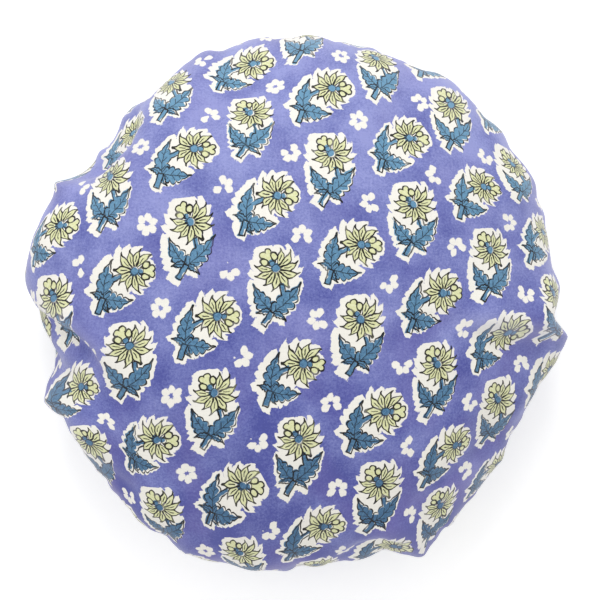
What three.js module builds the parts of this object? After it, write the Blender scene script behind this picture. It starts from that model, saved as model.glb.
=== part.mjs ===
// A bouffant shower cap, crown up, standing on its gathered hem.
// A round printed cotton panel and a round waterproof lining are laid together, bound at
// the edge with a cloth tape, and drawn in by a ring of flat elastic inside that tape.
// Millimetres, +Z up. The origin is the centre of the ring that the hem stands on.

import * as THREE from 'three';

// Driving sizes of the puffed cap
const widestRadius = 156; // the mean radius of the cap's widest ring
const crownRise = 78; // from the widest ring up to the crown
const cheekHeight = 28; // from the underside up to the widest ring
const undersideReach = 16; // how far the underside runs nearly level outside the hem
const neckHeight = 5; // from the hem's upper edge up to the underside

// Cloth, tape, elastic and thread
const panelThickness = 0.35;
const liningThickness = 0.25;
const tapeThickness = 0.5;
const elasticThickness = 1;
const elasticWidth = 6;
const elasticRadius = 86; // to the middle of the relaxed elastic
const elasticLap = 12; // how far the elastic's sewn ends lie over each other
const lapRun = 30; // how long the elastic takes to step out before its lap
const seamThreadRadius = 0.2;
const joinThreadRadius = 0.15;
const pinchHeight = 1.8; // what the inner leg takes to lean back to the panels
const seamBand = 1.6; // where the tape's legs lie on the panels and are sewn
const rawEdgeGap = 0.7; // under the panels' raw edges, inside the tape
const foldCorner = 0.6; // the chamfer of the tape's two lower folds
const clearance = 0.3; // between pieces that touch

// Folds
const lobeDepth = 10.5; // the deepest of the big soft folds round the widest ring
const gatherDepth = 3.4; // half the height of the gathers on the underside
const hemWave = 0.9; // half the wave that the gathers keep inside the hem
const gatherCount = 20;

// Around the cap
const segments = gatherCount * 4;
const fullTurn = Math.PI * 2;

// How full the cloth hangs between the widest ring and the hem
const cheekFallShare = 0.96; // how straight it falls, of the cheek's height
const cheekTurnShare = 0.53; // how soon it turns level, of the way in to the underside
const neckTurnShare = 0.55; // how soon it turns down into the hem, of the underside's reach

// The big folds round the widest ring, by bearing anticlockwise from +X: how far out each
// stands, as a share of lobeDepth, its half width, and how far its line strays by the crown.
// Angles are in degrees.
const lobeShares = [
  { bearing: 352, out: 0.85, halfWidth: 4.5, stray: 24 },
  { bearing: 27, out: 0.3, halfWidth: 13, stray: 0 },
  { bearing: 56, out: 0.6, halfWidth: 8, stray: -12 },
  { bearing: 83, out: 0.5, halfWidth: 9, stray: 8 },
  { bearing: 107, out: 0.42, halfWidth: 8, stray: 0 },
  { bearing: 141, out: -0.98, halfWidth: 9, stray: 20 },
  { bearing: 167, out: 0.8, halfWidth: 9, stray: 12 },
  { bearing: 190, out: -1.2, halfWidth: 5, stray: 40 },
  { bearing: 202, out: 0.68, halfWidth: 5, stray: 32 },
  { bearing: 219, out: -0.12, halfWidth: 9, stray: 0 },
  { bearing: 247, out: 0.5, halfWidth: 8, stray: -16 },
  { bearing: 264, out: 0.4, halfWidth: 7, stray: 0 },
  { bearing: 281, out: -0.08, halfWidth: 7, stray: 0 },
  { bearing: 297, out: 0.9, halfWidth: 5, stray: -20 },
  { bearing: 332, out: -0.78, halfWidth: 7, stray: -24 },
];
const lobeStartShare = 0.36; // of the way from the crown to the raw edge, where they begin
const lobeEndShare = 0.9; // where they have died out again

// The gathers, which stray from even spacing by two slow waves round the cap
const gatherStartShare = 0.56; // of the same way, where they begin
const gatherFullShare = 0.82; // where they are at their deepest
const gatherStrays = [
  { waves: 3, angle: 0.055, phase: 0.7 },
  { waves: 5, angle: 0.033, phase: 2.1 },
];

// The panels' rows, between the crown, the widest ring and the hem
const crownRowShares = [0.24, 0.48, 0.7, 0.86]; // of the way from the crown to the widest ring
const undersideRowShares = [0.28, 0.55, 0.8]; // of the way from there to the hem

// The zigzag that joins the elastic's ends
const zigzagLegs = 8;
const zigzagInsetShare = 0.1; // from each end of the lap, of the lap
const zigzagMarginShare = 0.17; // from each edge of the elastic, of its width

// Radii inside the hem, worked out from the elastic
const elasticInner = elasticRadius - elasticThickness / 2;
const lapStep = elasticThickness + clearance;
const lapOuter = elasticRadius + elasticThickness / 2 + lapStep;
const liningFace = lapOuter + clearance + hemWave; // the lining's inner face
const panelFace = liningFace + liningThickness + clearance + panelThickness; // the printed face
const outerLegInner = panelFace + clearance;
const outerLegFace = outerLegInner + tapeThickness;
const joinThreadPath = elasticInner - clearance - joinThreadRadius;
const innerLegOuter = joinThreadPath - joinThreadRadius - clearance - hemWave;
const innerLegFace = innerLegOuter - tapeThickness;
const pinchOuter = liningFace - clearance;
const pinchFace = pinchOuter - tapeThickness;

// Heights, worked out from the hem's fold upwards
const elasticBottom = tapeThickness + clearance;
const elasticTop = elasticBottom + elasticWidth;
const pinchStart = elasticTop + clearance;
const hemHeight = pinchStart + tapeThickness + pinchHeight + seamBand;
const stitchHeight = hemHeight - seamBand / 2;
const panelEdge = tapeThickness + rawEdgeGap;
const undersideHeight = hemHeight + neckHeight;
const widestHeight = undersideHeight + cheekHeight;

// Materials
const cotton = new THREE.MeshStandardMaterial({ color: 0x7573c4, roughness: 0.85, metalness: 0 });
const membrane = new THREE.MeshStandardMaterial({ color: 0xf1f1ee, roughness: 0.4, metalness: 0 });
const tapeCloth = new THREE.MeshStandardMaterial({ color: 0x5c5ab4, roughness: 0.88, metalness: 0 });
const elasticWeave = new THREE.MeshStandardMaterial({ color: 0xf4f3ee, roughness: 0.9, metalness: 0 });
const thread = new THREE.MeshStandardMaterial({ color: 0x6663b8, roughness: 0.7, metalness: 0 });
const whiteThread = new THREE.MeshStandardMaterial({ color: 0xf2f0ea, roughness: 0.7, metalness: 0 });

// The cloth's line from the crown to its raw edge, as (radius, height)
function clothLine() {
  const undersideRadius = panelFace + undersideReach;
  const cheekRadius = THREE.MathUtils.lerp(widestRadius, undersideRadius, cheekTurnShare);
  const neckRadius = undersideRadius - undersideReach * neckTurnShare;
  const widest = new THREE.Vector2(widestRadius, widestHeight);
  const under = new THREE.Vector2(undersideRadius, undersideHeight);
  const neck = new THREE.Vector2(panelFace, hemHeight);
  const path = new THREE.CurvePath();
  path.add(new THREE.EllipseCurve(0, widestHeight, widestRadius, crownRise, Math.PI / 2, 0, true));
  path.add(new THREE.CubicBezierCurve(
    widest,
    new THREE.Vector2(widestRadius, widestHeight - cheekHeight * cheekFallShare),
    new THREE.Vector2(cheekRadius, undersideHeight),
    under,
  ));
  path.add(new THREE.CubicBezierCurve(
    under,
    new THREE.Vector2(neckRadius, undersideHeight),
    new THREE.Vector2(panelFace, undersideHeight),
    neck,
  ));
  path.add(new THREE.LineCurve(neck, new THREE.Vector2(panelFace, panelEdge)));
  return path;
}

const line = clothLine();
const lineLength = line.getLength();
const widestShare = line.getCurveLengths()[0] / lineLength;
const hemStartShare = 1 - (hemHeight - panelEdge) / lineLength;

// 0 before the first share, 1 after the second, and smooth between
function ease(from, to, share) {
  return THREE.MathUtils.smoothstep(share, from, to);
}

// The gathers' wave at an angle, from -1 to 1
function gatherWave(angle) {
  let strayed = angle;
  for (const stray of gatherStrays) strayed += stray.angle * Math.sin(stray.waves * angle + stray.phase);
  return Math.sin(gatherCount * strayed);
}

// The big folds' height at an angle and a share of the way
function lobeHeight(share, angle) {
  const grown = ease(lobeStartShare, widestShare, share) * (1 - ease(widestShare, lobeEndShare, share));
  if (grown === 0) return 0;
  const inwards = Math.max(0, widestShare - share) / widestShare;
  let height = 0;
  for (const { bearing, out, halfWidth, stray } of lobeShares) {
    const centre = THREE.MathUtils.degToRad(bearing + stray * inwards);
    const away = Math.atan2(Math.sin(angle - centre), Math.cos(angle - centre));
    height += out * lobeDepth * Math.exp(-0.5 * (away / THREE.MathUtils.degToRad(halfWidth)) ** 2);
  }
  return height * grown;
}

// The height of all folds above the cloth's line
function foldHeight(share, angle) {
  const full = gatherDepth * ease(gatherStartShare, gatherFullShare, share);
  const depth = THREE.MathUtils.lerp(full, hemWave, ease(gatherFullShare, hemStartShare, share));
  return lobeHeight(share, angle) + depth * gatherWave(angle);
}

// A point of the cloth: a share of the way from the crown, an angle, and a depth inside the
// printed face
function clothPoint(share, angle, depth) {
  const place = line.getPoint(share);
  const along = line.getTangent(share);
  const lift = foldHeight(share, angle) - depth;
  const radius = place.x - along.y * lift;
  const height = place.y + along.x * lift;
  return new THREE.Vector3(radius * Math.cos(angle), radius * Math.sin(angle), height);
}

// The panels' rows from the crown outwards, each with its points around the cap
function panelRows() {
  const underside = hemStartShare - widestShare;
  const inner = crownRowShares.map((share, i) => (
    { at: share * widestShare, around: i === 0 ? segments / 4 : segments / 2 }
  ));
  const outer = [
    widestShare,
    ...undersideRowShares.map((share) => widestShare + share * underside),
    hemStartShare,
    1,
  ].map((at) => ({ at, around: segments }));
  return [...inner, ...outer];
}

// A geometry from points and triangles
function geometryOf(points, triangles) {
  const geometry = new THREE.BufferGeometry().setFromPoints(points);
  geometry.setIndex(triangles);
  geometry.computeVertexNormals();
  return geometry;
}

// The triangles between two rows of points around the cap. The outer row has as many points
// as the inner one, or twice as many.
function bandBetween(inner, outer) {
  const band = [];
  const ratio = outer.count / inner.count;
  for (let i = 0; i < inner.count; i += 1) {
    const a = inner.first + i;
    const b = inner.first + ((i + 1) % inner.count);
    const c = outer.first + ratio * i;
    const d = outer.first + ((ratio * i + 1) % outer.count);
    band.push([a, c, d], [a, d, b]);
    if (ratio === 2) band.push([b, d, outer.first + ((ratio * i + 2) % outer.count)]);
  }
  return band;
}

// One face of a round panel, at a depth inside the printed face
function panelSide(depth, firstIndex) {
  const points = [clothPoint(0, 0, depth)];
  const rows = [];
  for (const { at, around } of panelRows()) {
    rows.push({ first: firstIndex + points.length, count: around });
    for (let i = 0; i < around; i += 1) points.push(clothPoint(at, (fullTurn * i) / around, depth));
  }
  const faces = [];
  const ring = rows[0];
  for (let i = 0; i < ring.count; i += 1) {
    faces.push([firstIndex, ring.first + i, ring.first + ((i + 1) % ring.count)]);
  }
  for (let r = 1; r < rows.length; r += 1) faces.push(...bandBetween(rows[r - 1], rows[r]));
  return { points, faces, rim: rows[rows.length - 1] };
}

// A round panel of cloth, drawn in and folded, as a closed skin of its thickness
function panelGeometry(depth, thickness) {
  const face = panelSide(depth, 0);
  const back = panelSide(depth + thickness, face.points.length);
  const edge = bandBetween(face.rim, back.rim);
  const backwards = back.faces.map(([a, b, c]) => [a, c, b]);
  return geometryOf([...face.points, ...back.points], [...face.faces, ...backwards, ...edge].flat());
}

// A strip swept round the cap, closed on itself or with two ends. Each section is an angle
// and an outline of (radius, height), anticlockwise with the radius to the right.
function sweepGeometry(sections, closed) {
  const size = sections[0].outline.length;
  const points = sections.flatMap(({ angle, outline }) => outline.map(
    ([radius, height]) => new THREE.Vector3(radius * Math.cos(angle), radius * Math.sin(angle), height),
  ));
  const triangles = [];
  const last = closed ? sections.length : sections.length - 1;
  for (let i = 0; i < last; i += 1) {
    const here = i * size;
    const next = ((i + 1) % sections.length) * size;
    for (let k = 0; k < size; k += 1) {
      const up = (k + 1) % size;
      triangles.push(here + k, next + k, next + up, here + k, next + up, here + up);
    }
  }
  if (!closed) {
    const end = (sections.length - 1) * size;
    for (let k = 1; k + 1 < size; k += 1) triangles.push(0, k, k + 1, end, end + k + 1, end + k);
  }
  return geometryOf(points, triangles);
}

// A full ring whose outline shifts outwards and inwards with the gathers inside the hem
function gatheredRing(outline) {
  const sections = [];
  for (let i = 0; i < segments; i += 1) {
    const angle = (fullTurn * i) / segments;
    const shift = hemWave * gatherWave(angle);
    sections.push({ angle, outline: outline.map(([radius, height]) => [radius + shift, height]) });
  }
  return sweepGeometry(sections, true);
}

// The tape, folded over the raw edges and round the elastic, with its legs pinched together
function bindingGeometry() {
  return gatheredRing([
    [outerLegFace, hemHeight],
    [outerLegInner, hemHeight],
    [outerLegInner, tapeThickness],
    [innerLegOuter, tapeThickness],
    [innerLegOuter, pinchStart],
    [pinchOuter, pinchStart + pinchHeight],
    [pinchOuter, hemHeight],
    [pinchFace, hemHeight],
    [pinchFace, pinchStart + pinchHeight + tapeThickness],
    [innerLegFace, pinchStart + tapeThickness],
    [innerLegFace, foldCorner],
    [innerLegFace + foldCorner, 0],
    [outerLegFace - foldCorner, 0],
    [outerLegFace, foldCorner],
  ]);
}

// One side of the seam that closes the tape: a thread lying along the hem
function seamThreadGeometry(pathRadius) {
  return gatheredRing([
    [pathRadius + seamThreadRadius, stitchHeight],
    [pathRadius, stitchHeight + seamThreadRadius],
    [pathRadius - seamThreadRadius, stitchHeight],
    [pathRadius, stitchHeight - seamThreadRadius],
  ]);
}

// The flat elastic, a strip that steps out before it runs on over its own beginning
function elasticGeometry() {
  const stepEnd = fullTurn - elasticLap / 2 / elasticRadius;
  const stepStart = stepEnd - lapRun / elasticRadius;
  const total = fullTurn + elasticLap / elasticRadius;
  const sections = [];
  for (let i = 0; i <= segments; i += 1) {
    const angle = (total * i) / segments;
    const inner = elasticInner + lapStep * ease(stepStart, stepEnd, angle);
    const outer = inner + elasticThickness;
    sections.push({
      angle,
      outline: [
        [outer, elasticBottom],
        [outer, elasticTop],
        [inner, elasticTop],
        [inner, elasticBottom],
      ],
    });
  }
  return sweepGeometry(sections, false);
}

// The zigzag thread over the elastic's lapped ends
function elasticJoinGeometry() {
  const inset = elasticLap * zigzagInsetShare;
  const margin = elasticWidth * zigzagMarginShare;
  const points = [];
  for (let i = 0; i <= zigzagLegs; i += 1) {
    const along = inset + ((elasticLap - 2 * inset) * i) / zigzagLegs;
    const angle = along / elasticRadius;
    const height = i % 2 === 0 ? elasticBottom + margin : elasticTop - margin;
    points.push(new THREE.Vector3(joinThreadPath * Math.cos(angle), joinThreadPath * Math.sin(angle), height));
  }
  const path = new THREE.CatmullRomCurve3(points, false, 'catmullrom', 0.2);
  const section = new THREE.Shape().absarc(0, 0, joinThreadRadius, 0, fullTurn, false);
  return new THREE.ExtrudeGeometry(section, { steps: zigzagLegs * 6, curveSegments: 5, extrudePath: path });
}

// A named piece
function piece(name, geometry, material) {
  const mesh = new THREE.Mesh(geometry, material);
  mesh.name = name;
  return mesh;
}

const needlePath = outerLegFace + clearance + seamThreadRadius;
const bobbinPath = pinchFace - clearance - seamThreadRadius;
const cap = new THREE.Group();
cap.add(
  piece('outer_panel', panelGeometry(0, panelThickness), cotton),
  piece('waterproof_lining', panelGeometry(panelThickness + clearance, liningThickness), membrane),
  piece('hem_binding', bindingGeometry(), tapeCloth),
  piece('elastic_band', elasticGeometry(), elasticWeave),
  piece('elastic_join_stitch', elasticJoinGeometry(), whiteThread),
  piece('hem_needle_thread', seamThreadGeometry(needlePath), thread),
  piece('hem_bobbin_thread', seamThreadGeometry(bobbinPath), thread),
);

export default cap;
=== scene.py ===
import bpy
import numpy as np
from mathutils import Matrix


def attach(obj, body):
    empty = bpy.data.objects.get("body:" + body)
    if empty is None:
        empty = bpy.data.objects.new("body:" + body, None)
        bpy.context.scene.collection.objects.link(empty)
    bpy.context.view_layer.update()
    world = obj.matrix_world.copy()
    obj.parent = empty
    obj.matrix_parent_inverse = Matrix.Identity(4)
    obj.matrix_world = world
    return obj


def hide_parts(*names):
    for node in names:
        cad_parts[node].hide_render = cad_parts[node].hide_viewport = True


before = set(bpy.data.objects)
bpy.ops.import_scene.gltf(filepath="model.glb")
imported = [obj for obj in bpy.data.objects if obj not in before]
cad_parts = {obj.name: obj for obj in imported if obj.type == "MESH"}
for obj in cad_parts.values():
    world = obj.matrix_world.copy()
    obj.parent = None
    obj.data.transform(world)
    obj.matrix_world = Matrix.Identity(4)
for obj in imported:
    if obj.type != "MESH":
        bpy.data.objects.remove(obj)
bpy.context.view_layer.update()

mm = 0.001
fullTurn = 2 * np.pi
print("frame loaded:", ", ".join(sorted(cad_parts)))


def hexToLinear(text):
    # an sRGB hex colour as linear red, green, blue and alpha
    parts = [int(text[i:i + 2], 16) / 255 for i in (1, 3, 5)]
    return [c / 12.92 if c < 0.04045 else ((c + 0.055) / 1.055) ** 2.4 for c in parts] + [1.0]


def ease(start, end, value):
    # 0 before start, 1 after end, and smooth between
    t = np.clip((value - start) / (end - start), 0, 1)
    return t * t * (3 - 2 * t)


def hump(start, full, fading, end, value):
    # 0 before start and after end, 1 between full and fading, and smooth on the way
    return ease(start, full, value) * (1 - ease(fading, end, value))


def bell(away, width):
    # 1 at nought, and falling off on both sides
    return np.exp(-((away / width) ** 2))


def turnFrom(angle, bearing):
    # how far round an angle is from a bearing in degrees, by the shorter way
    away = angle - np.radians(bearing)
    return np.arctan2(np.sin(away), np.cos(away))


def polar(radius, angle, *height):
    # points at a distance from the cap's axis and an angle, flat unless a height is given
    return np.stack([radius * np.cos(angle), radius * np.sin(angle), *height], -1)


def placed(name, data):
    # an object with this data in the scene
    made = bpy.data.objects.new(name, data)
    bpy.context.scene.collection.objects.link(made)
    return made


def makePiece(name, points, faceSets, material, slot):
    # a piece that rides on root, from points in millimetres and sets of triangles or quads
    mesh = bpy.data.meshes.new(name)
    mesh.from_pydata((points * mm).tolist(), [], [face for faces in faceSets for face in faces.tolist()])
    mesh.shade_smooth()
    mesh.validate()
    mesh.materials.append(material)
    piece = placed(name, mesh)
    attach(piece, "root")
    return piece


cap = {
    "widestRadius": 156.0,  # mean radius of the widest ring
    "crownRise": 78.0,  # from the widest ring up to the crown
    "cheekHeight": 28.0,  # from the underside up to the widest ring
    "undersideReach": 16.0,  # how far the underside runs nearly level outside the hem
    "neckHeight": 5.0,  # from the hem's upper edge up to the underside
    "cheekFall": 0.96, "cheekTurn": 0.53, "neckTurn": 0.55,  # how full it hangs, as shares
    "panelFace": 89.9,  # radius of the printed face inside the hem
    "hemHeight": 11.0, "panelEdge": 1.2,  # heights of the hem's upper edge and the raw edge
    "panelThickness": 0.35, "liningDepth": 0.65, "liningThickness": 0.25,
}

folds = {
    "lobeDepth": 10.5,  # the deepest of the big soft folds round the widest ring
    "lobeStart": 0.36, "lobeEnd": 0.9,  # shares of the way from the crown to the raw edge
    "gatherDepth": 3.4, "hemWave": 0.9,  # half heights of the main gathers
    "gatherStart": 0.56, "gatherFull": 0.82,
    "gatherCount": 20,
    "gatherStrays": [(3, 0.055, 0.7), (5, 0.033, 2.1)],  # waves, angle, phase
    # each big fold: bearing, how far out as a share of lobeDepth, half width, stray by the crown
    "lobes": [
        (352, 0.85, 4.5, 24), (27, 0.3, 13, 0), (56, 0.6, 8, -12), (83, 0.5, 9, 8),
        (107, 0.42, 8, 0), (141, -0.98, 9, 20), (167, 0.8, 9, 12), (190, -1.2, 5, 40),
        (202, 0.68, 5, 32), (219, -0.12, 9, 0), (247, 0.5, 8, -16), (264, 0.4, 7, 0),
        (281, -0.08, 7, 0), (297, 0.9, 5, -20), (332, -0.78, 7, -24),
    ],
    "ringTrim": -1.2,  # the widest ring's mean, in mm
    # small corners and hollows of the widest ring: bearing, mm out, half width
    "corners": [
        (4, 2, 3), (18, -5, 5), (27, 2, 4), (45, -4, 4.5), (57, -2, 3), (63, 2, 3), (76, -4, 3.5),
        (81, 1, 3), (86, -6, 3.5), (91, 2, 4), (99, -2, 4), (109, 3, 4), (125, -6, 4), (142, 6, 4),
        (153, 5, 3), (163, -5, 6), (180, -4, 5), (190, 2, 3), (199, -1, 5), (206, -8, 3.5), (215, 3, 4),
        (222, -3, 4), (230, 2, 4), (241, -3, 3), (246, 3, 2.5), (254, -4, 5), (262, 4, 4), (270, -6, 4),
        (282, 4, 4), (290, -5, 3), (299, -4, 3), (305, 5, 4), (317, -2, 5), (323, 5, 4), (334, 2, 3),
        (346, -2, 3), (357, -12, 2.5),
        (153, 1.5, 1.2), (133, 1, 1.2), (201, 2, 1.2), (297, 1, 1.2), (353.5, 1.5, 1.2), (358, -3, 1.2),
    ],
    "cornerPower": 1.5,  # how sharply a corner falls off beside its bearing
    "cornerSpan": (-45, -4, 6, 60),  # mm from the widest ring: they begin, are full, fade and end
    # flatter shoulders above the widest ring: mm along from the crown, reach, bearing, half
    # width, mm up
    "shoulders": [(172, 20, 164, 13, 9), (176, 20, 257, 10, 7), (172, 20, 230, 13, 8)],
    # finer gathers: how many, places along the cloth in mm from the crown, and their height there
    "puffs": [
        (20, [130, 165, 190, 208, 225, 250, 275, 284], [0, 0.5, 1.3, 3.2, 3.6, 2.0, 0.4, 0.2]),
        (40, [150, 180, 194, 210, 232, 255, 275, 284], [0, 0.35, 0.8, 2.2, 3.4, 2.9, 1.0, 0.8]),
        (80, [190, 215, 240, 262, 275, 284], [0, 0.5, 1.5, 2.3, 1.5, 1.1]),
    ],
    # how the finer gathers stray round the cap, by how much more with each mm from the hem, how
    # much their height varies, and how many mm sooner or later they begin
    "puffSway": 0.9, "puffSpread": 1 / 60, "puffVary": 0.35, "puffReach": 9,
    "puffLimits": (0.25, 1.9),  # the least and the most that their height varies to
    "hemLift": 0.55, "mostLift": 2.4, "liftPower": 1.3,  # the hem's lift off the floor between folds
    "liftOver": 14,  # mm of cloth above the hem that it takes to lift
    "swell": (0.75, 85),  # low swells all over: height and length
    "rumple": (0.28, 0.4, 34),  # fine ones: height at the crown, more of it further out, length
    "swellStart": (10, 60), "rumpleGrown": (90, 170),  # mm from the crown
    "swellLess": (-40, -12, 0.6), "swellEnd": 5,  # mm from the hem, and the share that is lost there
    "seed": 11,
}

# Where the folds pull the printed cloth along: a place on the flat cloth in mm, how far the pull
# reaches, and what it adds to the print's x and y there
clothPulls = [
    (10, 0, 60, -2.2, -1), (-30, -165, 45, 3, 13), (-150, -50, 48, 12, 5), (-168, 32, 40, 5.5, -2),
    (-92, -122, 38, 3, 5), (-120, 88, 38, 8, -7), (-84, 148, 28, 7, -5), (-30, 146, 30, 1, 10),
    (5, 196, 30, 3, -9), (142, 98, 34, 12, 13), (128, -38, 34, 7, -4.5), (112, -145, 34, 13, -10),
    (62, 75, 45, 2, 3), (10, -135, 35, -0.5, 3), (52, 160, 28, 2, -4), (-50, 78, 50, -0.5, -2.5),
    (96, 125, 30, 3, 2), (-164, 88, 18, 10, -6), (-124, -84, 24, -7.5, -10), (-112, 118, 26, -8, 11),
    (95, -83, 30, 1, -3), (-81, -79, 26, 2, 3), (-142, -24, 14, -7, 1), (-173, -52, 18, 14, 2),
    (-168, -78, 16, 8, 0),
]

# Creases seen from above: the ridge's height and width, the valley's depth and width, how wide
# the turn between them is, and a path in mm from the cap's axis. The cloth stands up in a ridge
# on the left hand as one goes along the path and lies in a valley on the right.
creases = [
    ((3.2, 14), (5.4, 14), 1.5, [(-156, 2), (-140, -8), (-127, -15), (-115, -26), (-106, -42)]),
    ((4.6, 20), (7.0, 20), 5.0, [(92, -9), (110, -14), (130, -17), (147, -17), (160, -15)]),
    ((2.2, 13), (3.6, 11), 2.4, [(20, -152), (36, -138), (48, -132), (60, -134), (72, -147)]),
    ((2.6, 15), (4.4, 13), 3.0,
     [(-92, 124), (-90, 106), (-96, 93), (-110, 85), (-124, 77), (-142, 70)]),
    ((0.8, 16), (1.0, 14), 4.0, [(66, 138), (82, 122), (92, 104), (98, 84)]),
    ((1.6, 15), (2.2, 13), 4.0, [(-140, -70), (-120, -86), (-102, -98), (-84, -118)]),
    ((1.5, 15), (2.0, 13), 4.0, [(128, -78), (112, -92), (88, -104), (70, -128)]),
]
creaseRun = {
    "lasting": (-0.1, 0.3, 0.65, 1.05),  # shares of the path: it begins, is full, fades and ends
    "fading": (-2, 18),  # and over these mm past the widest ring it fades out
    "rubAside": 3, "rubHalf": 5,  # mm from the path to the painted sheen along the ridge, and how wide
    "rubRidge": 4,  # height in mm of a ridge that gets the full painted sheen
}

# The lap of the left edge's fold, as the print has it: on the right hand of this path some mm of
# the print are left out, as if hidden in the lap
tuck = {
    "path": [(-158, 4), (-140, -7), (-127, -14), (-115, -25), (-106, -41)],
    "hidden": 16, "turn": 0.7, "reach": 45, "fading": (10, 50),
}


def clothLine():
    # the cloth's line from the crown to its raw edge: a quarter ellipse, a cubic curve round
    # the cheek, a cubic curve into the neck, and a straight down inside the hem
    face, hemTop, wide = cap["panelFace"], cap["hemHeight"], cap["widestRadius"]
    underRadius, underHeight = face + cap["undersideReach"], hemTop + cap["neckHeight"]
    widestHeight = underHeight + cap["cheekHeight"]
    t = np.linspace(0, 1, 1200)
    quarter = t * np.pi / 2
    crown = np.stack([wide * np.sin(quarter), widestHeight + cap["crownRise"] * np.cos(quarter)])
    cheekRadius = wide + (underRadius - wide) * cap["cheekTurn"]
    neckRadius = underRadius - cap["undersideReach"] * cap["neckTurn"]
    curves = [
        [(wide, widestHeight), (wide, widestHeight - cap["cheekHeight"] * cap["cheekFall"]),
         (cheekRadius, underHeight), (underRadius, underHeight)],
        [(underRadius, underHeight), (neckRadius, underHeight), (face, underHeight), (face, hemTop)],
    ]
    weights = np.stack([(1 - t) ** 3, 3 * t * (1 - t) ** 2, 3 * t * t * (1 - t), t ** 3])
    cubic = [np.array(points, float).T @ weights for points in curves]
    straight = np.stack([np.full(t.shape, face), hemTop + (cap["panelEdge"] - hemTop) * t])
    line = np.concatenate([crown, cubic[0][:, 1:], cubic[1][:, 1:], straight[:, 1:]], axis=1)
    along = np.concatenate([[0], np.cumsum(np.hypot(*np.diff(line, axis=1)))])
    tangent = np.gradient(line, along, axis=1)
    tangent /= np.hypot(*tangent)
    widestAt, hemAt = along[len(t) - 1], along[3 * len(t) - 3]
    return along, line, tangent, widestAt, hemAt


lineAlong, linePoints, lineTangents, widestAt, hemAt = clothLine()
lineLength = lineAlong[-1]
print(f"cloth line {lineLength:.1f} mm, widest ring at {widestAt:.1f} mm, hem at {hemAt:.1f} mm")


def straySet(seed, waves):
    # a slow random wave round the cap: a sum of whole waves that fall off with their number
    source = np.random.default_rng(seed)
    counts = np.arange(1, waves + 1)
    phases = source.uniform(0, fullTurn, waves)
    sizes = source.normal(0, 1, waves) / np.sqrt(counts)

    def wave(angle):
        turned = np.multiply.outer(counts, angle)
        return np.tensordot(sizes, np.sin(turned + phases.reshape(-1, *[1] * np.ndim(angle))), 1)
    return wave


def rumple(x, y, length, seed, count=14):
    # a soft random height: a sum of plane waves of about one length in random directions
    source = np.random.default_rng(seed)
    total = np.zeros_like(x)
    for _ in range(count):
        turn = source.uniform(0, fullTurn)
        size = length * source.uniform(0.7, 1.5)
        phase = source.uniform(0, fullTurn)
        total += np.sin((x * np.cos(turn) + y * np.sin(turn)) * fullTurn / size + phase)
    return total / np.sqrt(count / 2)


def puffed(phase):
    # a gathered wave with broad round hills and narrow valleys, from about -0.5 to 0.4
    return np.sqrt(np.sin(phase / 2) ** 2 + 0.02) - 0.65


def lobeHeight(along, angle):
    # the big folds and the corners: a bell of its own width for each, grown towards the widest ring
    share, widest = along / lineLength, widestAt / lineLength
    grown = hump(folds["lobeStart"], widest, widest, folds["lobeEnd"], share)
    inwards = np.maximum(0, widest - share) / widest
    height = np.full_like(angle, folds["ringTrim"])
    for bearing, out, halfWidth, stray in folds["lobes"]:
        away = turnFrom(angle, bearing + stray * inwards) / np.radians(halfWidth)
        height += out * folds["lobeDepth"] * np.exp(-0.5 * away ** 2)
    height *= grown
    near = hump(*folds["cornerSpan"], along - widestAt)
    for bearing, out, halfWidth in folds["corners"]:
        away = np.abs(turnFrom(angle, bearing) / np.radians(halfWidth))
        height += near * out * np.exp(-away ** folds["cornerPower"])
    return height


def shoulderRise(along, angle):
    # how far the shoulders stand up: a bell along the cloth times a bell round the cap
    rise = np.zeros_like(angle)
    for place, reach, bearing, halfWidth, up in folds["shoulders"]:
        rise += up * bell(along - place, reach) * bell(turnFrom(angle, bearing), np.radians(halfWidth))
    return rise


def gatherHeight(along, angle):
    # the main gathers of the CAD part, with finer puffed ones that stray and vary round the cap
    share, hem = along / lineLength, hemAt / lineLength
    depth = folds["gatherDepth"] * ease(folds["gatherStart"], folds["gatherFull"], share)
    depth = depth + (folds["hemWave"] - depth) * ease(folds["gatherFull"], hem, share)
    strayed = angle.copy()
    for waves, size, phase in folds["gatherStrays"]:
        strayed += size * np.sin(waves * angle + phase)
    height = depth * np.sin(folds["gatherCount"] * strayed)
    for n, (count, places, heights) in enumerate(folds["puffs"]):
        seed = folds["seed"] + 7 * n
        sway = straySet(seed, 9)(angle) * folds["puffSway"]
        sway = sway + straySet(seed + 1, 5)(angle) * (along - hemAt) * folds["puffSpread"]
        vary = np.clip(1 + folds["puffVary"] * straySet(seed + 2, 24)(angle), *folds["puffLimits"])
        reach = along + folds["puffReach"] * straySet(seed + 3, 24)(angle) * (along < hemAt)
        height += 2 * np.interp(reach, places, heights) * vary * puffed(count * strayed + sway)
    return height


def besidePath(x, y, path):
    # how far points lie from a path in mm, above 0 on its left hand, and how far along it, 0 to 1
    spots, place = np.array(path) @ (1, 1j), x + 1j * y
    steps = np.diff(spots)
    travelled = np.concatenate([[0], np.cumsum(np.abs(steps))])
    nearest, side, way = np.full(x.shape, np.inf), np.zeros_like(x), np.zeros_like(x)
    for start, step, before in zip(spots, steps, travelled):
        share = (place - start) / step
        t = np.clip(share.real, 0, 1)
        away = np.abs(place - start - step * t)
        closer = away < nearest
        nearest = np.where(closer, away, nearest)
        side = np.where(closer, np.sign(share.imag), side)
        way = np.where(closer, (before + np.abs(step) * t) / travelled[-1], way)
    return nearest * side, way


def leftHand(signed, turn):
    # 1 on a path's left hand and 0 on its right, with a smooth turn between
    return 0.5 + 0.5 * np.tanh(signed / turn)


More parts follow.
